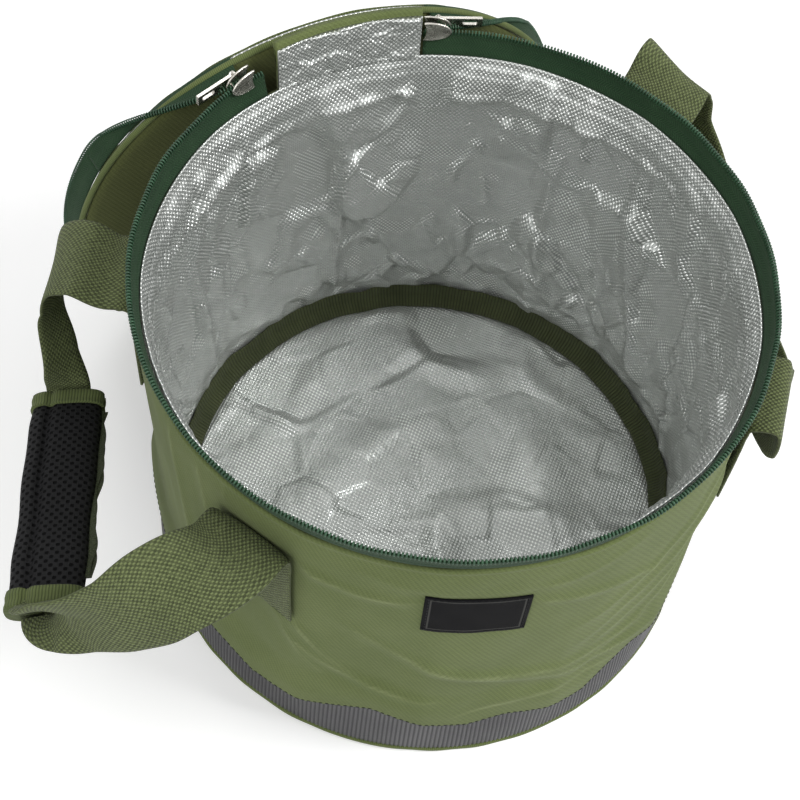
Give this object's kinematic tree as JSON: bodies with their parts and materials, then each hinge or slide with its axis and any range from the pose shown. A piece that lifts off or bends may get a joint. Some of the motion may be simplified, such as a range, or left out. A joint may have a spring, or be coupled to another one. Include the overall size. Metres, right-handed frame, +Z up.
{
  "type": "collapsible bait bucket",
  "caption": "Round soft-sided bait bucket with foil lining, zipped lid hung open behind, ribbed foot band, two webbing handles and a padded grip wrap.",
  "frame": {"origin": "middle of the underside of the base panel, at the surface it stands on", "axes": "+Z up, +Y to the back where the lid is hinged, -Y to the front, -X to the handle with the padded grip"},
  "size_m": [0.3896, 0.3506, 0.2159],
  "materials": {
    "olive_cloth": "olive woven polyester, fine plain weave, matt",
    "olive_binding": "olive ribbed grosgrain tape",
    "olive_piping": "olive cloth piping over a cord",
    "webbing": "olive woven webbing, 38 mm wide, ribbed across",
    "silver_lining": "aluminised woven lining, crinkled, bright sheen",
    "foam": "closed-cell foam sheet, hidden between cloth and lining",
    "board": "stiff foam board, hidden",
    "grey_band": "dark grey ribbed woven band, slight sheen",
    "zip_tape": "dark green woven zip tape",
    "zip_coil": "dark green moulded nylon coil",
    "nickel": "bright nickel-plated zinc",
    "black_mesh": "black spacer mesh over a thin pad",
    "hook_loop": "olive hook-and-loop tape",
    "label": "plain black woven label"
  },
  "bodies": {
    "base": {"base_panel": "olive_cloth", "base_board": "board", "floor_lining": "silver_lining", "base_piping": "olive_piping", "floor_binding": "olive_binding", "lower_band": "grey_band", "outer_wall": "olive_cloth", "wall_foam": "foam", "wall_lining": "silver_lining"},
    "rim": {"rim_zip_tape": "zip_tape", "rim_zip_coil": "zip_coil", "hinge_tab_outer": "olive_cloth", "hinge_tab_lining": "silver_lining", "woven_label": "label", "left_strap_end_front": "webbing", "left_strap_end_back": "webbing", "right_strap_end_front": "webbing", "right_strap_end_back": "webbing"},
    "slider_left": {"slider_left_body": "nickel"},
    "slider_right": {"slider_right_body": "nickel"},
    "pull_left": {"slider_left_pull": "nickel"},
    "pull_right": {"slider_right_pull": "nickel"},
    "lid_near": {"lid_outer_near": "olive_cloth", "lid_foam_near": "foam", "lid_lining_near": "silver_lining", "lid_piping_near": "olive_piping", "lid_binding_near": "olive_binding", "lid_zip_tape_left": "zip_tape", "lid_zip_coil_left": "zip_coil", "lid_zip_tape_right": "zip_tape", "lid_zip_coil_right": "zip_coil"},
    "lid_far": {"lid_outer_far": "olive_cloth", "lid_foam_far": "foam", "lid_lining_far": "silver_lining", "lid_piping_far": "olive_piping", "lid_binding_far": "olive_binding", "lid_zip_tape_far": "zip_tape", "lid_zip_coil_far": "zip_coil"},
    "left_handle": {"left_handle_strap": "webbing", "grip_pad": "black_mesh", "grip_pad_binding_front": "olive_binding", "grip_pad_binding_back": "olive_binding", "grip_loop_strip": "hook_loop"},
    "grip_flap": {"grip_flap": "black_mesh", "grip_flap_binding_front": "olive_binding", "grip_flap_binding_back": "olive_binding", "grip_hook_strip": "hook_loop"},
    "right_handle": {"right_handle_strap": "webbing"}
  },
  "joints": [
    {"name": "collapse", "type": "slide", "parent": "base", "child": "rim", "axis": [0, 0, -1], "range_m": [0, 0.094], "deforming": ["outer_wall", "wall_foam", "wall_lining"]},
    {"name": "slider_left_travel", "type": "hinge", "parent": "rim", "child": "slider_left", "pos_m": [0, 0, 0.20285], "axis": [0, 0, 1], "range_deg": [0, 148]},
    {"name": "slider_right_travel", "type": "hinge", "parent": "rim", "child": "slider_right", "pos_m": [0, 0, 0.20285], "axis": [0, 0, -1], "range_deg": [0, 148]},
    {"name": "pull_left_swing", "type": "hinge", "parent": "slider_left", "child": "pull_left", "pos_m": [-0.05143, 0.12417, 0.20285], "axis": [0, 0, -1], "range_deg": [0, 35]},
    {"name": "pull_right_swing", "type": "hinge", "parent": "slider_right", "child": "pull_right", "pos_m": [0.04553, 0.12645, 0.20285], "axis": [0, 0, 1], "range_deg": [0, 28]},
    {"name": "lid_hinge", "type": "hinge", "parent": "rim", "child": "lid_near", "pos_m": [0, 0.134, 0.2183], "axis": [1, 0, 0], "range_deg": [0, 265]},
    {"name": "lid_bend", "type": "hinge", "parent": "lid_near", "child": "lid_far", "pos_m": [0, 0.1536, 0.01724], "axis": [1, 0, 0], "range_deg": [-75, 0]},
    {"name": "left_handle_lift", "type": "hinge", "parent": "rim", "child": "left_handle", "pos_m": [-0.12108, -0.07419, 0.171], "axis": [-0.0305, 0.9995, 0], "range_deg": [0, 90]},
    {"name": "grip_flap_open", "type": "hinge", "parent": "left_handle", "child": "grip_flap", "pos_m": [-0.18829, 0.00764, 0.11612], "axis": [-0.335, -0.931, 0.145], "range_deg": [0, 150]},
    {"name": "right_handle_lift", "type": "hinge", "parent": "rim", "child": "right_handle", "pos_m": [0.1119, -0.08742, 0.171], "axis": [-0.0872, -0.9962, 0], "range_deg": [0, 90]}
  ],
  "couplings": [
    {"joint": "lid_bend", "follows": "lid_hinge", "ratio": -0.28301}
  ]
}
